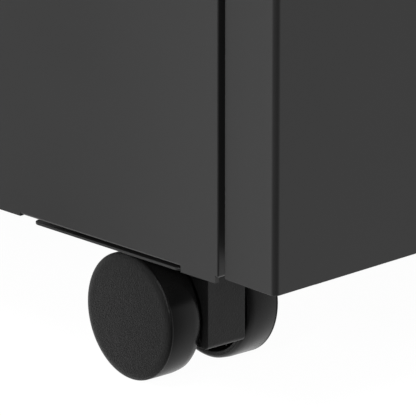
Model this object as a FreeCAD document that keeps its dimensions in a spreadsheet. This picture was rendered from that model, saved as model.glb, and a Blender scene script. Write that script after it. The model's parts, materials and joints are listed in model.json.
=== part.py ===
import FreeCAD, Part
import math
import os
import Sketcher

# A three-drawer mobile filing cabinet, in millimetres.
# +X runs to the right along the front, +Y from the front to the back, +Z up from the floor.
# The origin is on the floor under the middle of the whole object, handles included.

DIMENSIONS = [
    ("case_width", 390.0, "over the two side panels"),
    ("case_depth", 500.0, "from the drawer fronts to the back edge"),
    ("case_top", 600.0, "floor to the top of the cap"),
    ("case_bottom", 55.5, "floor to the bottom edge of the case"),
    ("skin", 0.9, "sheet steel of the case"),
    ("bend_outer", 2.4, "outside radius of a folded corner"),
    ("flange_width", 27.7, "front flange of a side panel, bend included"),
    ("flange_lean", 1.4, "how far the flange's inner edge is set back"),
    ("rear_flange", 15.0, "rear flange of a side panel"),
    ("cap_height", 34.0, "flange height of the top cap"),
    ("pan_drop", 0.5, "base pan below the bottom edge of the side panels"),
    ("pan_skin", 1.0, "sheet steel of the base pan"),
    ("front_half", 165.2, "half the width of a drawer front"),
    ("front_depth", 18.0, "depth of the folded drawer front"),
    ("front_bend", 0.6, "outside radius of a drawer front's upright edges"),
    ("front_gap", 3.0, "gap above each drawer front"),
    ("box_front", 122.0, "height of a box drawer's front"),
    ("tab_drop", 2.15, "how far the end tabs reach below the notch"),
    ("middle_drop", 0.55, "how far the middle reaches below the notch"),
    ("notch_near", 145.2, "notch end nearer the side, from the middle"),
    ("notch_far", 56.0, "notch end nearer the middle, from the middle"),
    ("hem", 2.0, "thickness of the folded bottom edge"),
    ("tub_half", 150.0, "half the outer width of a drawer tub"),
    ("tub_length", 440.0, "front to back length of a drawer tub"),
    ("tub_skin", 0.8, "sheet steel of a drawer tub"),
    ("slide_width", 12.7, "drawer slide, tub side to upright"),
    ("slide_half", 22.8, "half the height of the outer slide member"),
    ("slide_steel", 1.2, "sheet steel of the slide members"),
    ("slide_length", 450.0, "length of a slide member"),
    ("upright_width", 40.0, "slide upright, front to back"),
    ("handle_reach", 30.0, "handle in front of the drawer front"),
    ("handle_span", 128.0, "between the handle's two legs, on centre"),
    ("handle_bar", 10.0, "handle section, across"),
    ("handle_below", 30.0, "handle's centre below the top of its front"),
    ("lock_across", 148.0, "lock axis from the middle"),
    ("lock_below", 17.0, "lock axis below the top of the cap"),
    ("lock_radius", 9.0, "lock cylinder"),
    ("crank", 10.0, "lock axis to the crank pin"),
    ("swivel_in", 67.3, "swivel axis in from the side of the case"),
    ("swivel_back", 33.9, "swivel axis back from the drawer front"),
    ("wheel_radius", 25.0, "caster wheel"),
    ("trail", 18.0, "axle behind the swivel axis"),
    ("wheel_in", 11.5, "inner edge of a wheel from the caster's middle"),
    ("wheel_out", 28.0, "outer face of a wheel from the caster's middle"),
    ("housing_half", 9.3, "half the thickness of a caster housing"),
    ("housing_nose", 7.6, "flat face of the housing ahead of the swivel axis"),
    ("axle_radius", 3.0, "caster axle"),
    ("pintle_radius", 4.0, "stem inside the caster housing"),
    ("stem_radius", 5.0, "threaded end of the stem"),
    ("running", 0.05, "radial clearance of a shaft in its hole"),
    ("bracket_skin", 2.0, "caster bracket plate"),
    ("bracket_near", 51.4, "caster bracket's outer end in from the side of the case"),
    ("bracket_far", 133.2, "caster bracket's inner end in from the side of the case"),
    ("bracket_step", 1.0, "how much thinner the reach under the drawer is"),
    ("bracket_length", 78.0, "caster bracket's far edge from the front or back of the case"),
    ("pan_setback", 22.0, "front of the base pan behind the drawer fronts"),
    ("pan_lip_front", 5.0, "front lip of the base pan"),
    ("pan_lip_rear", 20.0, "rear lip of the base pan"),
    ("upright_skin", 1.2, "sheet steel of the uprights"),
    ("file_wall", 160.0, "height of the file drawer's tub"),
    ("box_wall", 78.0, "height of a box drawer's tub"),
    ("tub_lift", 9.0, "tub above the lower edge of its front"),
    ("catch_reach", 13.3, "lock catch, out from the tub's side"),
    ("catch_height", 12.0, "lock catch, top to bottom"),
    ("catch_skin", 6.0, "thickness of a lock catch, along the drawer's travel"),
    ("screw_radius", 1.6, "shank of a handle screw"),
    ("screw_head", 4.0, "radius of a handle screw's head"),
    ("screw_grip", 8.0, "handle screw's reach into the handle"),
    ("tray_length", 90.0, "pencil tray, front to back"),
    ("tray_height", 24.0, "pencil tray, top to bottom"),
    ("tray_rim", 2.0, "wall of the pencil tray"),
    ("folder_bar", 2.5, "thickness of a hanging bar"),
    ("folder_bar_height", 14.0, "hanging bar, top to bottom"),
    ("lock_bar_skin", 2.0, "thickness of the lock bar"),
    ("lock_bar_width", 12.0, "width of the lock bar"),
    ("lock_flange", 4.0, "lock housing's rim outside the cylinder"),
    ("lock_wall", 1.5, "wall of the lock housing, and thickness of its rim"),
    ("lock_length", 16.0, "lock housing behind the front"),
    ("crank_pin", 2.0, "radius of the crank pin"),
    ("hub_radius", 7.0, "hub of a caster wheel"),
    ("stem_foot", 31.0, "lower end of a caster stem above the floor"),
    ("stem_flange", 9.0, "radius of the stem's flange under its bracket"),
]

doc = FreeCAD.newDocument("filing_cabinet")
sheet = doc.addObject("Spreadsheet::Sheet", "dims")
nodes = []


class Size:
    """A length: its value now, and the formula of the sheet's cells that gives it."""

    def __init__(self, value, formula):
        self.value, self.formula = value, formula

    def __add__(self, other):
        other = size(other)
        return Size(self.value + other.value, f"({self.formula} + {other.formula})")

    def __sub__(self, other):
        other = size(other)
        return Size(self.value - other.value, f"({self.formula} - {other.formula})")

    def __mul__(self, factor):
        factor = size(factor)
        return Size(self.value * factor.value, f"({self.formula} * {factor.formula})")

    def __truediv__(self, factor):
        return self * (1.0 / factor)

    def __neg__(self):
        return self * -1.0

    def __radd__(self, other):
        return size(other) + self

    def __rsub__(self, other):
        return size(other) - self


def size(number):
    return number if isinstance(number, Size) else Size(float(number), f"{float(number):.9g}")


def fill_sheet():
    for row, (alias, number, meaning) in enumerate(DIMENSIONS, start=1):
        sheet.set(f"A{row}", meaning)
        sheet.set(f"B{row}", str(number))
        sheet.setAlias(f"B{row}", alias)
    doc.recompute()
    return {alias: Size(number, f"dims.{alias}") for alias, number, meaning in DIMENSIONS}


def bind(thing, prop, length):
    thing.setExpression(prop, size(length).formula)


# ---- Part primitives, bound to the sheet ----

def box(x, y, z, dx, dy, dz):
    thing = doc.addObject("Part::Box", "block")
    for prop, length in (("Length", dx), ("Width", dy), ("Height", dz)):
        bind(thing, prop, length)
    place(thing, x, y, z)
    return thing


def cylinder(x, y, z, radius, length, axis="Z"):
    thing = doc.addObject("Part::Cylinder", "round")
    bind(thing, "Radius", radius)
    bind(thing, "Height", length)
    turn = {"X": ((0, 1, 0), 90), "Y": ((1, 0, 0), -90), "Z": ((0, 0, 1), 0)}[axis]
    thing.Placement.Rotation = FreeCAD.Rotation(FreeCAD.Vector(*turn[0]), turn[1])
    place(thing, x, y, z)
    return thing


def place(thing, x, y, z):
    for axis, length in (("x", x), ("y", y), ("z", z)):
        bind(thing, f".Placement.Base.{axis}", length)


def join(things):
    union = doc.addObject("Part::MultiFuse", "union")
    union.Shapes = things
    union.Refine = True
    return union


def group(things):
    """Separate solids kept in one object."""
    compound = doc.addObject("Part::Compound", "group")
    compound.Links = things
    return compound


def cut(base, tools):
    difference = doc.addObject("Part::Cut", "difference")
    difference.Base = base
    difference.Tool = tools[0] if len(tools) == 1 else join(tools)
    difference.Refine = True
    return difference


# ---- PartDesign bodies ----

PLANES = {"Z": "XY_Plane", "Y": "XZ_Plane", "X": "YZ_Plane"}
FACING = {"Z": 1, "Y": -1, "X": 1}


def new_body(name):
    return doc.addObject("PartDesign::Body", name)


def settle(body, feature):
    body.Tip = feature
    doc.recompute()
    if {"Invalid", "Error"} & set(feature.State) or not feature.Shape.isValid():
        raise RuntimeError(f"{feature.Name} of {body.Name} failed")


def attach(sketch, body, axis, start):
    plane = next(item for item in body.Origin.OriginFeatures if item.Role == PLANES[axis])
    sketch.AttachmentSupport = [(plane, "")]
    sketch.MapMode = "FlatFace"
    bind(sketch, ".AttachmentOffset.Base.z", size(start) * FACING[axis])


def draw_outline(sketch, points):
    """A closed outline whose corners are held by the sheet's dimensions."""
    points = [(size(px), size(py)) for px, py in points]
    first = len(sketch.Geometry)
    for index, (px, py) in enumerate(points):
        qx, qy = points[(index + 1) % len(points)]
        sketch.addGeometry(Part.LineSegment(FreeCAD.Vector(px.value, py.value, 0),
                                            FreeCAD.Vector(qx.value, qy.value, 0)), False)
    for index, (px, py) in enumerate(points):
        line, following = first + index, first + (index + 1) % len(points)
        sketch.addConstraint(Sketcher.Constraint("Coincident", line, 2, following, 1))
        for kind, length in (("DistanceX", px), ("DistanceY", py)):
            number = sketch.addConstraint(Sketcher.Constraint(kind, -1, 1, line, 1, length.value))
            sketch.setExpression(f"Constraints[{number}]", length.formula)


def draw_circle(sketch, x, y, radius):
    x, y, radius = size(x), size(y), size(radius)
    centre = FreeCAD.Vector(x.value, y.value, 0)
    ring = sketch.addGeometry(Part.Circle(centre, FreeCAD.Vector(0, 0, 1), radius.value), False)
    for kind, length in (("DistanceX", x), ("DistanceY", y)):
        number = sketch.addConstraint(Sketcher.Constraint(kind, -1, 1, ring, 3, length.value))
        sketch.setExpression(f"Constraints[{number}]", length.formula)
    number = sketch.addConstraint(Sketcher.Constraint("Radius", ring, radius.value))
    sketch.setExpression(f"Constraints[{number}]", radius.formula)


def new_sketch(body, axis, start, outlines, circles=()):
    sketch = body.newObject("Sketcher::SketchObject", "outline")
    attach(sketch, body, axis, start)
    for points in outlines:
        draw_outline(sketch, points)
    for x, y, radius in circles:
        draw_circle(sketch, x, y, radius)
    return sketch


def pad(body, axis, start, length, points, circles=()):
    feature = body.newObject("PartDesign::Pad", "pad")
    feature.Profile = new_sketch(body, axis, start, [points] if points else [], circles)
    feature.Reversed = FACING[axis] < 0
    bind(feature, "Length", length)
    settle(body, feature)


def pocket(body, axis, start, length, points=None, circles=()):
    """Cut away from start towards the plus end of the axis; the volume has to go down."""
    before = body.Shape.Volume
    feature = body.newObject("PartDesign::Pocket", "pocket")
    feature.Profile = new_sketch(body, axis, start, [points] if points else [], circles)
    feature.Reversed = FACING[axis] > 0
    bind(feature, "Length", length)
    settle(body, feature)
    if body.Shape.Volume >= before - 1e-6:
        raise RuntimeError(f"a pocket of {body.Name} cuts nothing")


def turn_profile(body, points):
    """Turn an outline of (along Y, out in Z) points about the Y axis."""
    feature = body.newObject("PartDesign::Revolution", "turning")
    sketch = new_sketch(body, "X", 0, [points])
    feature.Profile = sketch
    feature.ReferenceAxis = (sketch, ["H_Axis"])
    feature.Angle = 360
    settle(body, feature)


def round_corners(body, axis, corners, radius):
    """Fillet the straight edges that run along an axis through the given corners."""
    across = [index for index in range(3) if "XYZ"[index] != axis]
    wanted = [(size(px).value, size(py).value) for px, py in corners]
    names = []
    for index, edge in enumerate(body.Shape.Edges, start=1):
        ends = [vertex.Point for vertex in edge.Vertexes]
        if len(ends) == 2 and any(all(math.dist((end[across[0]], end[across[1]]), corner) < 1e-3
                                      for end in ends) for corner in wanted):
            names.append(f"Edge{index}")
    fillet(body, names, radius)


def fillet(body, names, radius):
    if not names:
        raise RuntimeError(f"no edge of {body.Name} to round")
    rounded = body.Tip
    feature = body.newObject("PartDesign::Fillet", "fillet")
    feature.Base = (rounded, names)
    bind(feature, "Radius", radius)
    settle(body, feature)


def keep(thing, label):
    thing.Label = label
    nodes.append(thing)
    return thing


def rectangle(x0, y0, x1, y1):
    return [(x0, y0), (x1, y0), (x1, y1), (x0, y1)]


# ---- where things are ----

dim = fill_sheet()
half = dim["case_width"] / 2
front = (dim["case_depth"] - dim["handle_reach"]) / -2
back = front + dim["case_depth"]
bottom = dim["case_bottom"]
skin = dim["skin"]
cap_edge = dim["case_top"] - dim["cap_height"]
inside = half - skin
upright_face = dim["tub_half"] + dim["slide_width"]
tub_front = front + dim["front_depth"]
pan_top = bottom - dim["pan_drop"] + dim["pan_skin"]
file_front = cap_edge - bottom - dim["front_gap"] * 3 - dim["box_front"] * 2
slide_start = tub_front + 4
lock_x = dim["lock_across"]
lock_z = dim["case_top"] - dim["lock_below"]
bar_face = front + 24
upright_front = front + 45
bar_left = dim["tub_half"] + 16.5

DRAWERS = {
    "bottom": (bottom, file_front, dim["file_wall"], True),
    "middle": (bottom + file_front + dim["front_gap"], dim["box_front"], dim["box_wall"], False),
    "top": (bottom + file_front + dim["front_gap"] * 2 + dim["box_front"], dim["box_front"], dim["box_wall"], False),
}
CASTERS = {"front_right": (1, -1, 3.2), "front_left": (-1, -1, -6.0),
           "rear_right": (1, 1, 9.0), "rear_left": (-1, 1, -4.0)}


# ---- the case ----

def side_panel(side, label):
    """One side, folded from a single sheet: a leaning front flange and a rear flange."""
    body = new_body(label)
    edge = half - dim["flange_width"]
    points = [(edge, front + dim["flange_lean"]), (half, front), (half, back),
              (half - dim["rear_flange"], back), (half - dim["rear_flange"], back - skin),
              (inside, back - skin), (inside, front + skin),
              (edge, front + dim["flange_lean"] + skin)]
    points = [(px * side, py) for px, py in points]
    pad(body, "Z", bottom, cap_edge - bottom, points)
    round_corners(body, "Z", [points[1], points[2]], dim["bend_outer"])
    round_corners(body, "Z", [points[5], points[6]], dim["bend_outer"] - skin)
    keep(body, label)


def top_cap():
    """The top, a pressed pan with a flange all round and the lock's hole in front."""
    body = new_body("top_cap")
    outer = rectangle(-half, front, half, back)
    pad(body, "Z", cap_edge, dim["cap_height"], outer)
    hollow = rectangle(-inside, front + skin, inside, back - skin)
    pocket(body, "Z", cap_edge, dim["cap_height"] - skin, hollow)
    round_corners(body, "Z", hollow, dim["bend_outer"] - skin)
    round_corners(body, "Z", outer, dim["bend_outer"])
    top_edges = [f"Edge{index}" for index, edge in enumerate(body.Shape.Edges, start=1)
                 if all(abs(vertex.Z - dim["case_top"].value) < 1e-6 for vertex in edge.Vertexes)]
    fillet(body, top_edges, dim["bend_outer"] - 0.8)
    pocket(body, "Y", front - 1, skin + 2, None, [(lock_x, lock_z, dim["lock_radius"] + 1.5)])
    keep(body, "top_cap")


def back_panel():
    across = inside - 3
    body = new_body("back_panel")
    pad(body, "Y", back - skin * 2, skin, rectangle(-across, pan_top, across, dim["case_top"] - skin))
    keep(body, "back_panel")


def base_pan():
    """The floor of the case, with a low lip in front and a higher one behind."""
    body = new_body("base_pan")
    pan_front, pan_back = front + dim["pan_setback"], back - dim["bend_outer"]
    under = pan_top - dim["pan_skin"]
    profile = [(pan_front, under), (pan_back, under), (pan_back, under + dim["pan_lip_rear"]),
               (pan_back - dim["pan_skin"], under + dim["pan_lip_rear"]), (pan_back - dim["pan_skin"], pan_top),
               (pan_front + dim["pan_skin"], pan_top), (pan_front + dim["pan_skin"], under + dim["pan_lip_front"]),
               (pan_front, under + dim["pan_lip_front"])]
    pad(body, "X", -inside, inside * 2, profile)
    holes = [(*swivel_place(across, along), dim["stem_radius"]) for across, along, angle in CASTERS.values()]
    pocket(body, "Z", under - 1, dim["pan_skin"] + 2, None, holes)
    keep(body, "base_pan")


def swivel_place(across, along):
    """Where a caster's swivel axis stands on the floor."""
    return ((half - dim["swivel_in"]) * across,
            front + dim["swivel_back"] if along < 0 else back - dim["swivel_back"])


def uprights():
    """Front and rear channels between each side panel and its slides."""
    channels = []
    wall = dim["upright_skin"]
    low, tall = pan_top, dim["case_top"] - skin - pan_top
    for side in (-1, 1):
        for start in (upright_front, back - 70):
            outer = box(min_x(upright_face, inside, side), start, low, inside - upright_face,
                        dim["upright_width"], tall)
            hollow = box(min_x(upright_face + wall, inside + 1, side), start + wall, low - 1,
                         inside + 1 - upright_face - wall, dim["upright_width"] - wall * 2, tall + 2)
            channels.append(cut(outer, [hollow]))
    keep(group(channels), "uprights")


def min_x(near, far, side):
    return near if side > 0 else -far


# ---- a drawer ----

def drawer_front(place_name, low, tall):
    """A folded pan. The bottom one is notched over the two caster brackets."""
    body = new_body(f"drawer_front_{place_name}")
    wide = dim["front_half"]
    outer = rectangle(-wide, low, wide, low + tall)
    pad(body, "Y", front, dim["front_depth"], outer)
    round_corners(body, "Z", [(px, front) for px in (-wide, wide)], dim["front_bend"])
    round_corners(body, "X", [(front, pz) for pz in (low, low + tall)], 1.2)
    hollow = rectangle(skin - wide, low + skin, wide - skin, low + tall - skin)
    pocket(body, "Y", front + skin, dim["front_depth"], hollow)
    if place_name == "bottom":
        for side in (-1, 1):
            tab = [(dim["notch_near"] * side, low - dim["tab_drop"]),
                   ((wide - 1.5) * side, low - dim["tab_drop"]), ((wide - 1.5) * side, low + 2),
                   (dim["notch_near"] * side, low + 2)]
            pad(body, "Y", front, dim["hem"], tab)
        across = dim["notch_far"]
        pad(body, "Y", front, dim["hem"],
            rectangle(-across, low - dim["middle_drop"], across, low + 2))
    grip = low + tall - dim["handle_below"]
    holes = [(dim["handle_span"] / 2 * side, grip, 2.2) for side in (-1, 1)]
    pocket(body, "Y", front - 1, skin + 2, None, holes)
    keep(body, f"drawer_front_{place_name}")


def drawer_tub(place_name, low, wall):
    """Bottom, two sides and front wall, folded from one sheet, and the separate back."""
    wide, length, thin = dim["tub_half"], dim["tub_length"], dim["tub_skin"]
    base = low + dim["tub_lift"]
    outer = box(-wide, tub_front + thin, base, wide * 2, length - thin, wall)
    hollow = box(thin - wide, tub_front + thin * 2, base + thin, wide * 2 - thin * 2, length, wall)
    keep(cut(outer, [hollow]), f"drawer_tub_{place_name}")
    rear = box(thin - wide, tub_front + length - thin - 2, base + thin,
               wide * 2 - thin * 2, thin, wall - thin - 2)
    keep(rear, f"drawer_back_{place_name}")
    return base


def inner_panel(place_name, low, tall, base, wall):
    """The plate that closes the folded front, and the lock's catch on the tub's right side."""
    wide = dim["front_half"]
    plate = box(-wide, tub_front, low, wide * 2, dim["tub_skin"], tall)
    catch = box(dim["tub_half"], bar_face + 4, base + wall - dim["catch_height"] - 2,
                dim["catch_reach"], dim["catch_skin"], dim["catch_height"])
    keep(group([plate, catch]), f"drawer_inner_panel_{place_name}")


def handle(place_name, low, tall):
    """A bow of one section: two legs and a bar, with a tapped hole in each leg."""
    body = new_body(f"handle_{place_name}")
    bar, reach, span = dim["handle_bar"], dim["handle_reach"], dim["handle_span"]
    grip = low + tall - dim["handle_below"]
    outside = span / 2 + bar / 2
    inner = outside - bar
    leg = front - reach
    points = [(-outside, front), (-outside, leg), (outside, leg), (outside, front),
              (inner, front), (inner, leg + bar * 0.7), (-inner, leg + bar * 0.7), (-inner, front)]
    pad(body, "Z", grip - bar / 2, bar, points)
    round_corners(body, "Z", points[1:3], 9.0)
    round_corners(body, "Z", points[5:7], 4.0)
    long_edges = [f"Edge{index}" for index, edge in enumerate(body.Shape.Edges, start=1)
                  if edge.Length > 50 and abs(edge.Vertexes[0].Y - front.value) > 1]
    fillet(body, long_edges, 1.2)
    holes = [(span / 2 * side, grip, dim["screw_radius"]) for side in (-1, 1)]
    pocket(body, "Y", front - dim["screw_grip"] - 1, dim["screw_grip"] + 2, None, holes)
    keep(body, f"handle_{place_name}")
    screws = []
    for side in (-1, 1):
        at = span / 2 * side
        shank = cylinder(at, front - dim["screw_grip"], grip, dim["screw_radius"], skin + dim["screw_grip"], "Y")
        head = cylinder(at, front + skin, grip, dim["screw_head"], 2.4, "Y")
        screws.append(join([shank, head]))
    keep(group(screws), f"handle_screws_{place_name}")


def channel(side, web, tip, half_tall, start, length, middle, steel):
    """A slide member of one side: an upright web and two flanges, open towards the tip."""
    low, high = (web, tip) if web.value < tip.value else (tip, web)
    outer = box(low if side > 0 else -high, start, middle - half_tall, high - low, length, half_tall * 2)
    inner_low, inner_high = (low + steel, high + 1) if web.value < tip.value else (low - 1, high - steel)
    hollow = box(inner_low if side > 0 else -inner_high, start - 1, middle - half_tall + steel,
                 inner_high - inner_low, length + 2, half_tall * 2 - steel * 2)
    return cut(outer, [hollow])


def slides(place_name, middle):
    """Outer members on the case, inner ones on the tub, and a middle pair between."""
    steel, tall = dim["slide_steel"], dim["slide_half"]
    tub = dim["tub_half"]
    members = {
        "outer": (upright_face, upright_face - 9.5, tall, slide_start, dim["slide_length"]),
        "middle": (upright_face - 1.7, upright_face - 9.9, tall - 1.7, slide_start + 4,
                   dim["slide_length"] - 12),
        "inner": (tub, tub + 9.3, tall - 6, slide_start + 2, dim["slide_length"] - 20),
    }
    for name, (web, tip, half_tall, start, length) in members.items():
        pair = [channel(side, web, tip, half_tall, start, length, middle, steel) for side in (-1, 1)]
        keep(group(pair), f"slides_{name}_{place_name}")


def pencil_tray(base, wall):
    """A moulded tray with three troughs, hung in the front of the top drawer."""
    wide, long, tall, rim = dim["tub_half"] - 2.5, dim["tray_length"], dim["tray_height"], dim["tray_rim"]
    start, floor = tub_front + 3, base + wall - tall - 4
    tray = box(-wide, start, floor, wide * 2, long, tall)
    troughs = []
    left = rim - wide
    for share in (0.5, 0.26, 0.24):
        across = (wide * 2 - rim * 4) * share
        troughs.append(box(left, start + rim, floor + rim, across, long - rim * 2, tall))
        left = left + across + rim
    keep(cut(tray, troughs), "pencil_tray")


def hanging_bars(base, wall):
    """Two bars across the file drawer that carry hanging folders."""
    reach = dim["tub_half"] - dim["tub_skin"]
    bars = [box(-reach, tub_front + at, base + wall - dim["folder_bar_height"] - 2, reach * 2,
                dim["folder_bar"], dim["folder_bar_height"]) for at in (30, 362)]
    keep(group(bars), "hanging_bars")


def drawers():
    for place_name, (low, tall, wall, filing) in DRAWERS.items():
        drawer_front(place_name, low, tall)
        base = drawer_tub(place_name, low, wall)
        inner_panel(place_name, low, tall, base, wall)
        handle(place_name, low, tall)
        slides(place_name, base + 30)
        if filing:
            hanging_bars(base, wall)
        if place_name == "top":
            pencil_tray(base, wall)


# ---- the lock ----

def lock():
    """A cam lock in the cap; its crank pin lowers a bar with one hook for each drawer."""
    radius = dim["lock_radius"]
    rim, deep = dim["lock_wall"], dim["lock_length"]
    shell = cut(join([cylinder(lock_x, front - rim, lock_z, radius + dim["lock_flange"], rim, "Y"),
                      cylinder(lock_x, front, lock_z, radius + rim, deep, "Y")]),
                [cylinder(lock_x, front - 2, lock_z, radius + dim["running"], deep + 4, "Y")])
    keep(shell, "lock_housing")
    keyway = box(lock_x - 0.6, front - 2, lock_z - 4, 1.2, 14, 8)
    barrel = cut(cylinder(lock_x, front - 1.8, lock_z, radius, deep + 2.2, "Y"), [keyway])
    arm = box(lock_x - 5, front + deep + 0.4, lock_z - 5, dim["crank"] + 9, 2.6, 10)
    pin = cylinder(lock_x + dim["crank"], front + deep + 0.4, lock_z, dim["crank_pin"], 11, "Y")
    keep(join([barrel, arm, pin]), "lock_cylinder")
    blade = box(lock_x - 0.5, front - 8, lock_z - 3.8, 1.0, 19, 7.6)
    bow = cylinder(lock_x - 1.25, front - 14, lock_z, 9.0, 2.5, "X")
    ring_hole = cylinder(lock_x - 3, front - 18, lock_z, 2.5, 6, "X")
    keep(cut(join([blade, bow]), [ring_hole]), "key")


def lock_bar():
    """A flat bar behind the right front flange; each hook stops above its drawer's catch."""
    thick, wide = dim["lock_bar_skin"], dim["lock_bar_width"]
    foot, crown = pan_top + 14, lock_z - 8
    pieces = [box(bar_left, bar_face, foot, wide, thick, crown - foot + 2),
              box(lock_x - 8, bar_face, crown, bar_left + wide - lock_x + 8, thick, 15)]
    for low, tall, wall, filing in DRAWERS.values():
        hook_low = low + dim["tub_lift"] + wall - 1
        pieces.append(box(dim["tub_half"] + 2, bar_face, hook_low, bar_left - dim["tub_half"] - 1, thick, 9))
    slot = box(lock_x - 2.6, bar_face - 1, lock_z - 4.7, dim["crank"] + 5.2, thick + 2, 7)
    keep(cut(join(pieces), [slot]), "lock_bar")
    guides = []
    ear, play, tall = 2.7, 0.3, 10.0
    for height in (150.0, 460.0):
        left = bar_left - play - ear
        block_face = bar_face + thick + play
        guides.append(join([
            box(left, block_face, height, wide + (play + ear) * 2, upright_front - block_face, tall),
            box(left, bar_face - 2, height, ear, block_face - bar_face + 2, tall),
            box(bar_left + wide + play, bar_face - 2, height, ear, block_face - bar_face + 2, tall)]))
    keep(group(guides), "lock_bar_guides")


# ---- the casters ----

def caster_wheel(side, label):
    """A moulded wheel: domed outer disc, deep recess inside, hub and tread in one."""
    body = new_body(label)
    edge, face, radius = dim["wheel_in"], dim["wheel_out"], dim["wheel_radius"]
    bore = dim["axle_radius"] + dim["running"]
    hub_in, hub = dim["housing_half"] + 0.5, dim["hub_radius"]
    profile = [(hub_in, bore), (hub_in, hub), (edge + 8, hub), (edge + 8, radius - 4), (edge, radius - 3),
               (edge, radius - 0.9), (edge + 1.6, radius), (face - 1.6, radius), (face - 0.7, radius - 2.0),
               (face - 0.3, radius - 5.0), (face, 0.0), (face - 2, 0.0), (face - 2, bore)]
    turn_profile(body, [(py * side, pz) for py, pz in profile])
    return body


def caster_housing(label):
    """The flat-sided body between the wheels, bored for the stem and the axle."""
    body = new_body(label)
    thick, nose, axle_x = dim["housing_half"], dim["housing_nose"], -dim["trail"]
    low, top = dim["wheel_radius"] - 11, bottom - 4.4
    points = rectangle(axle_x - 11, low, nose, top)
    pad(body, "Y", -thick, thick * 2, points)
    round_corners(body, "Y", [points[0], points[3]], 10.0)
    round_corners(body, "Y", [points[1]], 2.0)
    pocket(body, "Y", -thick - 1, thick * 2 + 2, None, [(axle_x, dim["wheel_radius"], dim["axle_radius"])])
    bore = dim["pintle_radius"] + dim["running"]
    pocket(body, "Z", dim["stem_foot"] - 1, top - dim["stem_foot"] + 2, None, [(0, 0, bore)])
    return body


def set_at(thing, across, along, angle):
    """Stand a caster piece at its swivel axis, turned by its own angle."""
    thing.Placement.Rotation = FreeCAD.Rotation(FreeCAD.Vector(0, 0, 1), -angle)
    place(thing, *swivel_place(across, along), 0)


def axle_offset(thing, across, along, angle):
    """Stand a turned piece on the axle line, which trails the swivel axis."""
    set_at(thing, across, along, angle)
    px, py = swivel_place(across, along)
    turned = math.radians(angle)
    place(thing, px - dim["trail"] * math.cos(turned), py + dim["trail"] * math.sin(turned),
          dim["wheel_radius"])


def casters():
    stems, nuts = [], []
    brackets = {"front": [], "rear": []}
    plate_top = bottom - dim["pan_drop"]
    for where, (across, along, angle) in CASTERS.items():
        housing = caster_housing(f"caster_housing_{where}")
        set_at(housing, across, along, angle)
        keep(housing, f"caster_housing_{where}")
        for side, name in ((-1, "a"), (1, "b")):
            wheel = caster_wheel(side, f"caster_wheel_{where}_{name}")
            axle_offset(wheel, across, along, angle)
            keep(wheel, f"caster_wheel_{where}_{name}")
        axle = doc.addObject("Part::Cylinder", "axle")
        bind(axle, "Radius", dim["axle_radius"])
        bind(axle, "Height", dim["wheel_out"] * 2 - 5)
        holder = group([axle])
        axle.Placement.Rotation = FreeCAD.Rotation(FreeCAD.Vector(1, 0, 0), -90)
        bind(axle, ".Placement.Base.y", 2.5 - dim["wheel_out"])
        axle_offset(holder, across, along, angle)
        keep(holder, f"caster_axle_{where}")
        px, py = swivel_place(across, along)
        plate_low = plate_top - dim["bracket_skin"]
        foot = dim["stem_foot"]
        stems.append(join([cylinder(px, py, foot, dim["pintle_radius"], plate_low - foot),
                           cylinder(px, py, plate_low - 1.5, dim["stem_flange"], 1.5),
                           cylinder(px, py, plate_low - 0.5, dim["stem_radius"], 9.5)]))
        nuts.append(cut(hexagon(px, py, pan_top, 8.5, 4.8),
                        [cylinder(px, py, pan_top - 1, dim["stem_radius"], 8)]))
        brackets["front" if along < 0 else "rear"].append(bracket(where, across, along, px, py, plate_low))
    keep(group(stems), "caster_stems")
    keep(group(nuts), "caster_nuts")
    for end, pair in brackets.items():
        keep(group(pair), f"caster_brackets_{end}")


def hexagon(px, py, pz, across_flats_half, tall):
    prism = doc.addObject("Part::Prism", "hexagon")
    prism.Polygon = 6
    bind(prism, "Circumradius", across_flats_half / math.cos(math.pi / 6))
    bind(prism, "Height", tall)
    place(prism, px, py, pz)
    return prism


def bracket(where, across, along, px, py, plate_low):
    """A plate under the base pan; the front ones reach forward into the drawer's notch."""
    body = new_body(f"caster_bracket_{where}")
    near, far = half - dim["bracket_near"], half - dim["bracket_far"]
    low_x, high_x = (far, near) if across > 0 else (-near, -far)
    reach = dim["bracket_length"]
    low_y, high_y = (front + 1, front + reach) if along < 0 else (back - reach, back - 3)
    outline = rectangle(low_x, low_y, high_x, high_y)
    pad(body, "Z", plate_low, dim["bracket_skin"], outline)
    round_corners(body, "Z", outline, 3.0)
    if along < 0:
        pocket(body, "Z", plate_low + dim["bracket_skin"] - dim["bracket_step"], dim["bracket_step"] + 1,
               rectangle(low_x - 1, front, high_x + 1, front + dim["pan_setback"] - 0.5))
    pocket(body, "Z", plate_low - 1, dim["bracket_skin"] + 2, None, [(px, py, dim["stem_radius"])])
    return body


# ---- build, check and write ----

def check_and_write():
    doc.recompute()
    failed = [thing.Name for thing in doc.Objects if {"Invalid", "Error"} & set(thing.State)]
    if failed:
        raise RuntimeError(f"failed objects: {failed}")
    for thing in nodes:
        if thing.Shape.isNull() or not thing.Shape.isValid() or thing.Shape.Volume <= 0:
            raise RuntimeError(f"{thing.Label} has no sound shape")
    os.makedirs("parts", exist_ok=True)
    for thing in nodes:
        thing.Shape.exportStep(f"parts/{thing.Label}.step")
        limits = thing.Shape.BoundBox
        print(f"{thing.Label}: {len(thing.Shape.Solids)} solid(s), {thing.Shape.Volume / 1000:.1f} cm3, "
              f"X {limits.XMin:.1f} {limits.XMax:.1f}  Y {limits.YMin:.1f} {limits.YMax:.1f}  "
              f"Z {limits.ZMin:.1f} {limits.ZMax:.1f}")
    print(len(nodes), "nodes")


side_panel(-1, "side_panel_left")
side_panel(1, "side_panel_right")
top_cap()
back_panel()
base_pan()
uprights()
drawers()
lock()
lock_bar()
casters()
check_and_write()
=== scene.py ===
import json
import math

import bmesh
import bpy
from mathutils import Matrix, Vector


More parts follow.
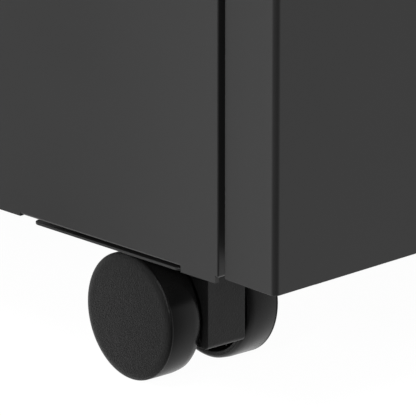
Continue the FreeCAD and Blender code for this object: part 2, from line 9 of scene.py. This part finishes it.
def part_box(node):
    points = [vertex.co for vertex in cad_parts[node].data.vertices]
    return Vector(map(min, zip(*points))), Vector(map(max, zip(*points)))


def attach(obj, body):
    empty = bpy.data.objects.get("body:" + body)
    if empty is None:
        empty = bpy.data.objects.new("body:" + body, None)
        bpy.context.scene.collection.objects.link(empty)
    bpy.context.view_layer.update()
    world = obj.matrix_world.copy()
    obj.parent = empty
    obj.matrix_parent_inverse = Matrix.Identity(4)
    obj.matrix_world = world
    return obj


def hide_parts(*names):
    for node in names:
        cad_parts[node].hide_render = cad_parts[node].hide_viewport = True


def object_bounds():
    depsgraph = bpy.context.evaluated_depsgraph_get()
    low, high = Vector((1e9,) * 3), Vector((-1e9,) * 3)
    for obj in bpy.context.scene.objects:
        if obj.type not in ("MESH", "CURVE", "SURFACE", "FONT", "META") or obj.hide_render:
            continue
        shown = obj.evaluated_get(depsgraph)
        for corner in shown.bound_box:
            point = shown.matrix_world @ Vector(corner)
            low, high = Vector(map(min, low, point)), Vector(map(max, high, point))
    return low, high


# A mobile steel filing cabinet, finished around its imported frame. Metres throughout.

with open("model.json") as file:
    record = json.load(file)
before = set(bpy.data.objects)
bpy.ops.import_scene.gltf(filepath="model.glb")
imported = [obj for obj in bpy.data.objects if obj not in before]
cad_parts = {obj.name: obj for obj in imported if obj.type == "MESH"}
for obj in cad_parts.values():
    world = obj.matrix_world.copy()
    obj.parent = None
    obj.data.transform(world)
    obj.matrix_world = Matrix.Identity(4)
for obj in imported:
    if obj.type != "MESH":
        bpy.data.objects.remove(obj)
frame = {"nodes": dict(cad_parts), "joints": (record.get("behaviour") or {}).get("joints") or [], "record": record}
CAD_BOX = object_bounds()
NODES = frame["nodes"]
BODY_OF = {node: body for body, nodes in frame["record"]["behaviour"]["bodies"].items() for node in nodes}
SLOT_OF = {part["node"]: part["material_slot"] for part in frame["record"]["subparts"]}
JOINTS = {joint["name"]: joint for joint in frame["joints"]}
CASTERS = ("front_right", "front_left", "rear_right", "rear_left")
DRAWERS = ("top", "middle", "bottom")
MM = 0.001


# ---- shader node groups ----

def new_group(name, inputs, outputs):
    """An empty shader group with named float, colour or vector sockets."""
    tree = bpy.data.node_groups.new(name, "ShaderNodeTree")
    for label, kind, start in inputs:
        socket = tree.interface.new_socket(label, in_out="INPUT", socket_type=f"NodeSocket{kind}")
        if start is not None:
            socket.default_value = start
    for label, kind in outputs:
        tree.interface.new_socket(label, in_out="OUTPUT", socket_type=f"NodeSocket{kind}")
    return tree, tree.nodes.new("NodeGroupInput"), tree.nodes.new("NodeGroupOutput")


def math_node(tree, operation, first, second):
    """A Math node on two sockets or plain numbers."""
    node = tree.nodes.new("ShaderNodeMath")
    node.operation = operation
    for index, value in enumerate((first, second)):
        if isinstance(value, (int, float)):
            node.inputs[index].default_value = value
        else:
            tree.links.new(value, node.inputs[index])
    return node.outputs[0]


def noise(tree, vector, scale, detail=2.0, roughness=0.5):
    node = tree.nodes.new("ShaderNodeTexNoise")
    node.inputs["Detail"].default_value = detail
    node.inputs["Roughness"].default_value = roughness
    tree.links.new(vector, node.inputs["Vector"])
    if isinstance(scale, (int, float)):
        node.inputs["Scale"].default_value = scale
    else:
        tree.links.new(scale, node.inputs["Scale"])
    return node.outputs["Fac"]


def spread(tree, value, low, high, to_low, to_high):
    """Map low..high to to_low..to_high, and hold it there outside."""
    node = tree.nodes.new("ShaderNodeMapRange")
    node.clamp = True
    tree.links.new(value, node.inputs["Value"])
    for label, number in (("From Min", low), ("From Max", high), ("To Min", to_low), ("To Max", to_high)):
        node.inputs[label].default_value = number
    return node.outputs["Result"]


def grain_group():
    """Fine moulded or sprayed grain: a height, and a mask of the highest specks."""
    tree, entry, leave = new_group("surface_grain",
                                   [("Vector", "Vector", None), ("Grains per metre", "Float", 1500.0),
                                    ("Waviness", "Float", 0.3)],
                                   [("Height", "Float"), ("Specks", "Float")])
    vector, per_metre = entry.outputs["Vector"], entry.outputs["Grains per metre"]
    fine = noise(tree, vector, per_metre, 3.0, 0.6)
    coarse = noise(tree, vector, math_node(tree, "MULTIPLY", per_metre, 0.22), 1.0)
    wave = math_node(tree, "MULTIPLY", coarse, entry.outputs["Waviness"])
    tree.links.new(math_node(tree, "ADD", fine, wave), leave.inputs["Height"])
    tree.links.new(spread(tree, fine, 0.56, 0.72, 0.0, 1.0), leave.inputs["Specks"])
    return tree


def handling_group():
    """Slow changes of sheen over a large surface, from cleaning and handling."""
    tree, entry, leave = new_group("handling", [("Vector", "Vector", None), ("Cloud size", "Float", 0.12)],
                                   [("Sheen", "Float"), ("Tint", "Float")])
    scale = math_node(tree, "DIVIDE", 1.0, entry.outputs["Cloud size"])
    cloud = noise(tree, entry.outputs["Vector"], scale, 3.0, 0.55)
    smear = noise(tree, entry.outputs["Vector"], math_node(tree, "MULTIPLY", scale, 7.0), 4.0, 0.7)
    mixed = math_node(tree, "ADD", math_node(tree, "MULTIPLY", cloud, 0.7), math_node(tree, "MULTIPLY", smear, 0.3))
    tree.links.new(spread(tree, mixed, 0.35, 0.65, 0.0, 1.0), leave.inputs["Sheen"])
    tree.links.new(spread(tree, cloud, 0.3, 0.7, 0.0, 1.0), leave.inputs["Tint"])
    return tree


def dust_group():
    """A little dust on what faces up, thicker in clouds."""
    tree, entry, leave = new_group("settled_dust", [("Vector", "Vector", None), ("Amount", "Float", 0.1)],
                                   [("Mask", "Float")])
    geometry = tree.nodes.new("ShaderNodeNewGeometry")
    split = tree.nodes.new("ShaderNodeSeparateXYZ")
    tree.links.new(geometry.outputs["Normal"], split.inputs[0])
    up = spread(tree, split.outputs["Z"], 0.4, 1.0, 0.0, 1.0)
    cloud = spread(tree, noise(tree, entry.outputs["Vector"], 30.0, 5.0, 0.6), 0.35, 0.75, 0.2, 1.0)
    mask = math_node(tree, "MULTIPLY", math_node(tree, "MULTIPLY", up, cloud), entry.outputs["Amount"])
    tree.links.new(mask, leave.inputs["Mask"])
    return tree


def brushing_group():
    """Fine parallel scratches along one axis, as rolled or brushed metal has."""
    tree, entry, leave = new_group("brushing", [("Vector", "Vector", None), ("Stretch", "Vector", (1, 1, 1))],
                                   [("Height", "Float"), ("Streaks", "Float")])
    scaled = tree.nodes.new("ShaderNodeVectorMath")
    scaled.operation = "MULTIPLY"
    tree.links.new(entry.outputs["Vector"], scaled.inputs[0])
    tree.links.new(entry.outputs["Stretch"], scaled.inputs[1])
    line = noise(tree, scaled.outputs["Vector"], 1.0, 4.0, 0.65)
    tree.links.new(line, leave.inputs["Height"])
    tree.links.new(spread(tree, line, 0.35, 0.7, 0.0, 1.0), leave.inputs["Streaks"])
    return tree


GRAIN, HANDLING, DUST, BRUSHING = grain_group(), handling_group(), dust_group(), brushing_group()


# ---- materials ----

POWDER_GRAINS, MOULDED_GRAINS = 2600.0, 1300.0


def place_group(tree, group, **values):
    node = tree.nodes.new("ShaderNodeGroup")
    node.node_tree = group
    for label, value in values.items():
        node.inputs[label.replace("_", " ")].default_value = value
    return node


def blend_colour(tree, factor, first, second):
    node = tree.nodes.new("ShaderNodeMix")
    node.data_type = "RGBA"
    for socket, value in ((node.inputs["A"], first), (node.inputs["B"], second)):
        if isinstance(value, tuple):
            socket.default_value = (*value, 1.0)
        else:
            tree.links.new(value, socket)
    tree.links.new(factor, node.inputs["Factor"])
    return node.outputs["Result"]


def grey(level, warmth=0.0):
    return (level * (1 + warmth), level, level * (1 - warmth))


def start_material(name, metallic=0.0, specular=0.5):
    material = bpy.data.materials.new(name)
    material.use_nodes = True
    tree = material.node_tree
    shader = tree.nodes["Principled BSDF"]
    shader.inputs["Metallic"].default_value = metallic
    shader.inputs["Specular IOR Level"].default_value = specular
    place = tree.nodes.new("ShaderNodeTexCoord").outputs["Object"]
    return material, tree, shader, place


def bump(tree, shader, height, strength, distance):
    node = tree.nodes.new("ShaderNodeBump")
    node.inputs["Strength"].default_value = strength
    node.inputs["Distance"].default_value = distance
    tree.links.new(height, node.inputs["Height"])
    tree.links.new(node.outputs["Normal"], shader.inputs["Normal"])


def coated(name, level, sheen, grains, depth, specular=0.5, dust=0.05, cloud=0.12, speck=0.12):
    """A grained coat or moulding: grain, specks, slow sheen changes and settled dust."""
    material, tree, shader, place = start_material(name, specular=specular)
    grain = place_group(tree, GRAIN, Grains_per_metre=grains)
    handled = place_group(tree, HANDLING, Cloud_size=cloud)
    dusty = place_group(tree, DUST, Amount=dust)
    for node in (grain, handled, dusty):
        tree.links.new(place, node.inputs["Vector"])
    base = blend_colour(tree, handled.outputs["Tint"], grey(level * 0.95), grey(level * 1.05))
    speckled = blend_colour(tree, math_node(tree, "MULTIPLY", grain.outputs["Specks"], speck),
                            base, grey(level * 2.6))
    tree.links.new(blend_colour(tree, dusty.outputs["Mask"], speckled, grey(0.34, 0.03)),
                   shader.inputs["Base Color"])
    tree.links.new(spread(tree, handled.outputs["Sheen"], 0.0, 1.0, *sheen), shader.inputs["Roughness"])
    bump(tree, shader, grain.outputs["Height"], 1.0, depth)
    return material


def bright_metal(name, colour, sheen, stretch, depth, dust=0.03):
    """Plated or polished metal with fine lines along one way."""
    material, tree, shader, place = start_material(name, metallic=1.0)
    lines = place_group(tree, BRUSHING, Stretch=stretch)
    handled = place_group(tree, HANDLING, Cloud_size=0.03)
    dusty = place_group(tree, DUST, Amount=dust)
    for node in (lines, handled, dusty):
        tree.links.new(place, node.inputs["Vector"])
    darker = tuple(channel * 0.8 for channel in colour)
    streaked = blend_colour(tree, lines.outputs["Streaks"], darker, colour)
    tree.links.new(blend_colour(tree, dusty.outputs["Mask"], streaked, grey(0.4)), shader.inputs["Base Color"])
    tree.links.new(spread(tree, handled.outputs["Sheen"], 0.0, 1.0, *sheen), shader.inputs["Roughness"])
    bump(tree, shader, lines.outputs["Height"], 0.6, depth)
    return material


MATERIALS = {
    "powder_coat": coated("powder_coat", 0.016, (0.30, 0.36), POWDER_GRAINS, 0.000008, cloud=0.2),
    "handle_finish": coated("handle_finish", 0.016, (0.28, 0.34), POWDER_GRAINS, 0.000008, cloud=0.04),
    "housing_plastic": coated("housing_plastic", 0.009, (0.40, 0.52), MOULDED_GRAINS, 0.00018, 0.42,
                              cloud=0.03, speck=0.3),
    "wheel_plastic": coated("wheel_plastic", 0.005, (0.34, 0.44), MOULDED_GRAINS, 0.00018, 0.20,
                            cloud=0.03, speck=0.3),
    "tread": coated("tread", 0.005, (0.22, 0.30), 1200.0, 0.000012, 0.30, cloud=0.02, speck=0.03),
    "tray_plastic": coated("tray_plastic", 0.020, (0.45, 0.58), 1600.0, 0.000020, 0.45, cloud=0.05),
    "zinc": bright_metal("zinc", (0.60, 0.62, 0.64), (0.26, 0.40), (900.0, 14.0, 900.0), 0.000008),
    "lock_metal": bright_metal("lock_metal", (0.68, 0.67, 0.65), (0.14, 0.24), (600.0, 600.0, 60.0), 0.000004),
}
# lighter, glossier coats for the bevelled edges: a painted highlight along each edge, where the bends catch the
# light
EDGE_HIGHLIGHT_COATS = {
    "powder_coat": coated("powder_coat_painted_highlight", 0.030, (0.24, 0.32), POWDER_GRAINS, 0.000004, 0.55,
                          cloud=0.03, speck=0.3),
    "handle_finish": coated("handle_painted_highlight", 0.030, (0.20, 0.28), POWDER_GRAINS, 0.000004, 0.55,
                            cloud=0.02, speck=0.3),
}


# ---- finishing the frame's own pieces ----

# pieces whose bevelled edges keep the plain coat, with no painted edge highlight
NO_EDGE_HIGHLIGHT = ("caster_brackets_front", "caster_brackets_rear", "base_pan", "uprights")
EDGE_WIDTH, EDGE_SEGMENTS = 0.22 * MM, 2


def mesh_piece(name, mesh, materials):
    piece = bpy.data.objects.new(name, mesh)
    bpy.context.scene.collection.objects.link(piece)
    for material in materials:
        mesh.materials.append(material)
    return piece


def baked(piece):
    """The piece with its modifiers made real."""
    depsgraph = bpy.context.evaluated_depsgraph_get()
    mesh = bpy.data.meshes.new_from_object(piece.evaluated_get(depsgraph))
    piece.modifiers.clear()
    piece.data = mesh
    return piece


def softened(node):
    """A copy of a frame node with its facets merged, bends smooth and edges slightly broken; except on a few listed
    pieces, the broken edges take a lighter coat, a painted highlight.
    """
    mesh = NODES[node].data.copy()
    mesh.materials.clear()
    work = bmesh.new()
    work.from_mesh(mesh)
    bmesh.ops.remove_doubles(work, verts=work.verts, dist=1e-6)
    bmesh.ops.dissolve_limit(work, angle_limit=math.radians(0.2), verts=work.verts, edges=work.edges)
    for face in work.faces:
        face.smooth = True
        face.material_index = 0
    work.to_mesh(mesh)
    work.free()
    coat = SLOT_OF[node]
    edge_highlight_coat = MATERIALS[coat] if node in NO_EDGE_HIGHLIGHT else EDGE_HIGHLIGHT_COATS.get(coat, MATERIALS[coat])
    piece = mesh_piece(f"{node}_finished", mesh, [MATERIALS[coat], edge_highlight_coat])
    bevel = piece.modifiers.new("edges", "BEVEL")
    bevel.width, bevel.segments = EDGE_WIDTH, EDGE_SEGMENTS
    bevel.limit_method, bevel.angle_limit = "ANGLE", math.radians(35)
    # the bevel faces take the second slot: the lighter coat, a painted edge highlight
    bevel.material = 1
    normals = piece.modifiers.new("flat faces", "WEIGHTED_NORMAL")
    normals.weight, normals.keep_sharp = 100, True
    baked(piece)
    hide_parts(node)
    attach(piece, BODY_OF[node])


# ---- casters ----

def lathe(name, profile, turns, centre, axle, materials):
    """Turn a closed profile of (along the axle, outwards, material) points about the axle."""
    across = axle.cross(Vector((0, 0, 1))).normalized()
    work = bmesh.new()
    rings = []
    for along, out, material in profile:
        if out == 0:
            rings.append([work.verts.new(centre + axle * along)] * turns)
            continue
        ring = []
        for step in range(turns):
            angle = 2 * math.pi * step / turns
            ring.append(work.verts.new(centre + axle * along + across * (out * math.cos(angle))
                                       + Vector((0, 0, 1)) * (out * math.sin(angle))))
        rings.append(ring)
    for index, ring in enumerate(rings):
        following = rings[(index + 1) % len(rings)]
        if ring[0] is ring[1] and following[0] is following[1]:
            continue
        for step in range(turns):
            other = (step + 1) % turns
            corners = list(dict.fromkeys((ring[step], ring[other], following[other], following[step])))
            face = work.faces.new(corners)
            face.smooth = True
            face.material_index = profile[index][2]
    bmesh.ops.recalc_face_normals(work, faces=work.faces)
    mesh = bpy.data.meshes.new(name)
    work.to_mesh(mesh)
    work.free()
    return mesh_piece(name, mesh, materials)


def ellipse(centre_along, centre_out, reach_along, reach_out, start, end, steps, material):
    """Points of a wheel's profile along part of an ellipse, from start to end in degrees."""
    turns = [math.radians(start + (end - start) * step / steps) for step in range(steps + 1)]
    return [(centre_along + reach_along * math.cos(turn), centre_out + reach_out * math.sin(turn), material)
            for turn in turns]


def wheel_axis(where, letter):
    """A wheel's centre, and the way from the caster's middle out through the wheel."""
    spin = JOINTS[f"wheel_{where}_{letter}_spin"]
    side = -1 if letter == "a" else 1
    return Vector(spin["pos_m"]), Vector(spin["axis"]).normalized() * side


def wheel(where, letter):
    """A twin-wheel caster's wheel: domed disc, rounded rim, tread, and a ribbed recess inside."""
    centre, axle = wheel_axis(where, letter)
    disc, tread = 0, 1
    radius, face, inner = 25 * MM, 28 * MM, 11.5 * MM
    dome = [(face - 0.35 * MM * (out / 20) ** 2, out * MM, disc) for out in (0, 4, 8, 12, 16, 18.5, 20.3)]
    rim = ellipse(face - 1.75 * MM, radius - 3.9 * MM, 1.38 * MM, 3.9 * MM, 10, 90, 12, disc)
    band = [(face - 1.9 * MM, radius, disc), (face - 2.15 * MM, radius - 0.12 * MM, tread),
            (face - 2.4 * MM, radius, tread),
            (inner + 4 * MM, radius, tread), (inner + 1.2 * MM, radius - 0.35 * MM, tread),
            (inner + 0.3 * MM, radius - 0.9 * MM, tread), (inner, radius - 1.6 * MM, disc),
            (inner, radius - 2.8 * MM, disc), (inner + 0.5 * MM, radius - 3.2 * MM, disc),
            (inner + 7.6 * MM, radius - 4.0 * MM, disc), (inner + 8 * MM, radius - 4.6 * MM, disc),
            (inner + 8 * MM, 7.4 * MM, disc), (inner + 7.4 * MM, 7.0 * MM, disc),
            (10.1 * MM, 7.0 * MM, disc), (9.8 * MM, 6.7 * MM, disc), (9.8 * MM, 3.3 * MM, disc),
            (10.0 * MM, 3.05 * MM, disc), (face - 2 * MM, 3.05 * MM, disc), (face - 2 * MM, 0, disc)]
    name = f"caster_wheel_{where}_{letter}_finished"
    piece = lathe(name, dome + rim + band, 96, centre, axle, [MATERIALS["wheel_plastic"], MATERIALS["tread"]])
    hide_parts(f"caster_wheel_{where}_{letter}")
    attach(piece, f"wheel_{where}_{letter}")


# ---- small repeated details ----

def repeated(name, unit, places, body, slot):
    """Copies of one small mesh, each at a place and turn, made by Geometry Nodes and then made real."""
    mesh = bpy.data.meshes.new(name)
    mesh.from_pydata([place for place, turn in places], [], [])
    turns = mesh.attributes.new("turn", "FLOAT_VECTOR", "POINT")
    for index, (place, turn) in enumerate(places):
        turns.data[index].vector = turn
    piece = mesh_piece(name, mesh, [])
    source = mesh_piece(f"{name}_unit", unit, [])
    tree = bpy.data.node_groups.new(f"{name}_copies", "GeometryNodeTree")
    tree.interface.new_socket("Geometry", in_out="INPUT", socket_type="NodeSocketGeometry")
    tree.interface.new_socket("Geometry", in_out="OUTPUT", socket_type="NodeSocketGeometry")
    entry, leave = tree.nodes.new("NodeGroupInput"), tree.nodes.new("NodeGroupOutput")
    info = tree.nodes.new("GeometryNodeObjectInfo")
    info.inputs["Object"].default_value = source
    stored = tree.nodes.new("GeometryNodeInputNamedAttribute")
    stored.data_type = "FLOAT_VECTOR"
    stored.inputs["Name"].default_value = "turn"
    copies = tree.nodes.new("GeometryNodeInstanceOnPoints")
    real = tree.nodes.new("GeometryNodeRealizeInstances")
    coat = tree.nodes.new("GeometryNodeSetMaterial")
    coat.inputs["Material"].default_value = MATERIALS[slot]
    tree.links.new(entry.outputs[0], copies.inputs["Points"])
    tree.links.new(info.outputs["Geometry"], copies.inputs["Instance"])
    tree.links.new(stored.outputs["Attribute"], copies.inputs["Rotation"])
    tree.links.new(copies.outputs["Instances"], real.inputs[0])
    tree.links.new(real.outputs[0], coat.inputs["Geometry"])
    tree.links.new(coat.outputs["Geometry"], leave.inputs[0])
    piece.modifiers.new("copies", "NODES").node_group = tree
    baked(piece)
    bpy.data.objects.remove(source)
    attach(piece, body)


def button(radius, tall, crown=0.35, sides=20):
    """A low domed head standing on its own base, up along Z."""
    work = bmesh.new()
    rings = [(radius, 0.0), (radius, tall * (1 - crown)), (radius * 0.86, tall * 0.88), (radius * 0.5, tall)]
    loops = []
    for out, up in rings:
        loops.append([work.verts.new((out * math.cos(2 * math.pi * step / sides),
                                      out * math.sin(2 * math.pi * step / sides), up)) for step in range(sides)])
    for low, high in zip(loops, loops[1:]):
        for step in range(sides):
            other = (step + 1) % sides
            work.faces.new((low[step], low[other], high[other], high[step])).smooth = True
    work.faces.new(loops[-1])
    work.faces.new(list(reversed(loops[0])))
    return finished_mesh(work, "button")


def slab(long, wide, tall, chamfer):
    """A block with its upper edges chamfered, its base centred on the origin."""
    work = bmesh.new()
    lower = [(-long / 2, -wide / 2), (long / 2, -wide / 2), (long / 2, wide / 2), (-long / 2, wide / 2)]
    rings = []
    for inset, up in ((0, 0), (0, tall - chamfer), (chamfer, tall)):
        rings.append([work.verts.new((x - math.copysign(inset, x), y - math.copysign(inset, y), up))
                      for x, y in lower])
    for low, high in zip(rings, rings[1:]):
        for step in range(4):
            work.faces.new((low[step], low[(step + 1) % 4], high[(step + 1) % 4], high[step]))
    work.faces.new(rings[-1])
    work.faces.new(list(reversed(rings[0])))
    return finished_mesh(work, "slab")


def finished_mesh(work, name):
    bmesh.ops.recalc_face_normals(work, faces=work.faces)
    mesh = bpy.data.meshes.new(name)
    work.to_mesh(mesh)
    work.free()
    return mesh


def facing(x, y, z):
    """The turn that stands a unit's own Z along a direction."""
    return tuple(Vector((x, y, z)).to_track_quat("Z", "Y").to_euler())


def wheel_ribs(where, letter):
    """Radial ribs between hub and rim in the recess of a wheel."""
    centre, axle = wheel_axis(where, letter)
    across, upward = axle.cross(Vector((0, 0, 1))).normalized(), Vector((0, 0, 1))
    places, count, first = [], 10, 9
    for step in range(count):
        angle = math.radians(360 / count * step + first)
        out = across * math.cos(angle) + upward * math.sin(angle)
        turn = Matrix((out, axle.cross(out), axle)).transposed().to_euler()
        places.append((centre + axle * 14.0 * MM + out * 13.7 * MM, tuple(turn)))
    repeated(f"wheel_ribs_{where}_{letter}", slab(13.8 * MM, 1.2 * MM, 6.0 * MM, 0.2 * MM), places,
             f"wheel_{where}_{letter}", "wheel_plastic")


def rivets():
    """Rivet heads down both sides and across the foot and head of the back panel."""
    low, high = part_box("back_panel")
    turn = facing(0, 1, 0)
    columns = [((side * (high.x - 7 * MM), high.y, low.z + 0.03 + 0.0805 * step), turn)
               for side in (-1, 1) for step in range(7)]
    rows = [((0.085 * step, high.y, height), turn) for step in (-1.5, -0.5, 0.5, 1.5)
            for height in (low.z + 0.035, high.z - 0.045)]
    repeated("back_rivets", button(2.4 * MM, 0.7 * MM), columns + rows, "case", "powder_coat")


def slide_screws(drawer):
    """Pan heads that hold each slide's inner member to its tub."""
    low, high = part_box(f"slides_inner_{drawer}")
    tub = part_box(f"drawer_tub_{drawer}")[1].x
    places = [((side * (tub + 1.2 * MM), low.y + at, (low.z + high.z) / 2), facing(side, 0, 0))
              for side in (-1, 1) for at in (0.035, 0.165, 0.295, 0.400)]
    repeated(f"slide_screws_{drawer}", button(3.4 * MM, 0.9 * MM), places, f"drawer_{drawer}", "zinc")


def weld_marks(drawer):
    """Shallow spot welds along the foot of each side of a tub."""
    low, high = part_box(f"drawer_tub_{drawer}")
    places = [((side * high.x, low.y + 0.02 + 0.056 * step, low.z + 6 * MM), facing(side, 0, 0))
              for side in (-1, 1) for step in range(8)]
    repeated(f"weld_marks_{drawer}", button(2.6 * MM, 0.12 * MM, 0.6), places, f"drawer_{drawer}", "powder_coat")


# ---- everything ----

for name in NODES:
    if not name.startswith("caster_wheel"):
        softened(name)
for where in CASTERS:
    for letter in "ab":
        wheel(where, letter)
        wheel_ribs(where, letter)
rivets()
for drawer in DRAWERS:
    slide_screws(drawer)
    weld_marks(drawer)


# ---- stage, light and camera ----

VIEW_AZIMUTH, VIEW_HEIGHT, VIEW_DISTANCE = math.radians(46.10), math.radians(17.46), 1.840
FLOOR_REACH = 60.0
CARD_HALF_WIDTH, CARD_HALF_HEIGHT, CARD_DISTANCE = 0.038, 0.35, 0.38
LIT_CORNER = (0.13, -0.23)


def stage():
    """A pale floor that shows from above only, and lights nothing."""
    mesh = bpy.data.meshes.new("floor")
    reach = FLOOR_REACH
    mesh.from_pydata([(-reach, -reach, 0), (reach, -reach, 0), (reach, reach, 0), (-reach, reach, 0)], [],
                     [(0, 1, 2, 3)])
    material = bpy.data.materials.new("pale_floor")
    material.use_nodes = True
    shader = material.node_tree.nodes["Principled BSDF"]
    shader.inputs["Base Color"].default_value = (0.05, 0.05, 0.05, 1)
    shader.inputs["Roughness"].default_value = 1.0
    shader.inputs["Specular IOR Level"].default_value = 0.0
    shader.inputs["Emission Color"].default_value = (1, 1, 1, 1)
    shader.inputs["Emission Strength"].default_value = 0.975
    tree = material.node_tree
    under = tree.nodes.new("ShaderNodeNewGeometry").outputs["Backfacing"]
    choice, clear = tree.nodes.new("ShaderNodeMixShader"), tree.nodes.new("ShaderNodeBsdfTransparent")
    tree.links.new(under, choice.inputs[0])
    tree.links.new(shader.outputs[0], choice.inputs[1])
    tree.links.new(clear.outputs[0], choice.inputs[2])
    tree.links.new(choice.outputs[0], tree.nodes["Material Output"].inputs["Surface"])
    floor = mesh_piece("floor", mesh, [material])
    floor.visible_diffuse = floor.visible_glossy = False


def area_light(name, place, target, size, power):
    light = bpy.data.lights.new(name, "AREA")
    light.shape, light.size, light.size_y = "RECTANGLE", *size
    light.energy = power
    thing = bpy.data.objects.new(name, light)
    bpy.context.scene.collection.objects.link(thing)
    thing.location = place
    thing.rotation_euler = (Vector(target) - Vector(place)).to_track_quat("-Z", "Y").to_euler()


def dark_card():
    """A narrow black card that the left of the front mirrors; it stands clear of the open drawers' path."""
    out = Vector((-0.686, -0.66, -0.30))
    centre = Vector((0.045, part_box("drawer_front_bottom")[0].y, 0.13)) + out * CARD_DISTANCE
    turn = out.to_track_quat("Z", "Y").to_matrix()
    corners = [centre + turn @ Vector((x * CARD_HALF_WIDTH, y * CARD_HALF_HEIGHT, 0))
               for x, y in ((-1, -1), (1, -1), (1, 1), (-1, 1))]
    mesh = bpy.data.meshes.new("dark_card")
    mesh.from_pydata(corners, [], [(0, 1, 2, 3)])
    material = bpy.data.materials.new("black_card")
    material.use_nodes = True
    shader = material.node_tree.nodes["Principled BSDF"]
    shader.inputs["Base Color"].default_value = (0.0, 0.0, 0.0, 1)
    shader.inputs["Specular IOR Level"].default_value = 0.0
    card = mesh_piece("dark_card", mesh, [material])
    card.visible_camera = card.visible_shadow = False


def lights():
    """Light all round, dim from the camera's own side, so that a folded corner reads as a dark line."""
    world = bpy.data.worlds.new("studio")
    world.use_nodes = True
    tree = world.node_tree
    direction = tree.nodes.new("ShaderNodeTexCoord").outputs["Generated"]
    ahead, aside = math.sin(VIEW_AZIMUTH), math.cos(VIEW_AZIMUTH)

    def towards(x, y, z):
        node = tree.nodes.new("ShaderNodeVectorMath")
        node.operation = "DOT_PRODUCT"
        tree.links.new(direction, node.inputs[0])
        node.inputs[1].default_value = (x, y, z)
        return node.outputs["Value"]

    dim = spread(tree, towards(ahead, -aside, 0), 0.12, 0.72, 1.0, 0.13)
    left = spread(tree, towards(-aside, -ahead, 0), -1.0, 1.0, 0.80, 1.26)
    level = math_node(tree, "MULTIPLY", math_node(tree, "MULTIPLY", dim, left), 0.91)
    seen = tree.nodes.new("ShaderNodeLightPath").outputs["Is Camera Ray"]
    strength = math_node(tree, "MAXIMUM", level, seen)
    tree.links.new(strength, tree.nodes["Background"].inputs["Strength"])
    tree.nodes["Background"].inputs["Color"].default_value = (1, 1, 1, 1)
    bpy.context.scene.world = world
    dark_card()
    area_light("front_lamp", (1.05, -1.99, 0.98), (*LIT_CORNER, 0.03), (0.35, 0.35), 18)
    area_light("overhead", (0.55, -1.35, 2.3), (*LIT_CORNER, 0.05), (0.9, 0.9), 30)


def camera():
    """A long lens on the lower front corner, from the right and a little above."""
    corner_x, front_y = CAD_BOX[1][0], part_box("drawer_front_bottom")[0][1]
    target = Vector((corner_x - 0.0351, front_y, 0.0817))
    away = Vector((math.sin(VIEW_AZIMUTH) * math.cos(VIEW_HEIGHT), -math.cos(VIEW_AZIMUTH) * math.cos(VIEW_HEIGHT),
                   math.sin(VIEW_HEIGHT)))
    data = bpy.data.cameras.new("camera")
    data.sensor_width, data.lens = 36.0, 432.7
    data.clip_start, data.clip_end = 0.05, 300.0
    thing = bpy.data.objects.new("camera", data)
    bpy.context.scene.collection.objects.link(thing)
    thing.location = target + away * VIEW_DISTANCE
    thing.rotation_euler = (-away).to_track_quat("-Z", "Y").to_euler()
    bpy.context.scene.camera = thing


stage()
lights()
camera()
bpy.context.scene.view_settings.view_transform = "Standard"
bpy.context.scene.cycles.max_bounces = 8
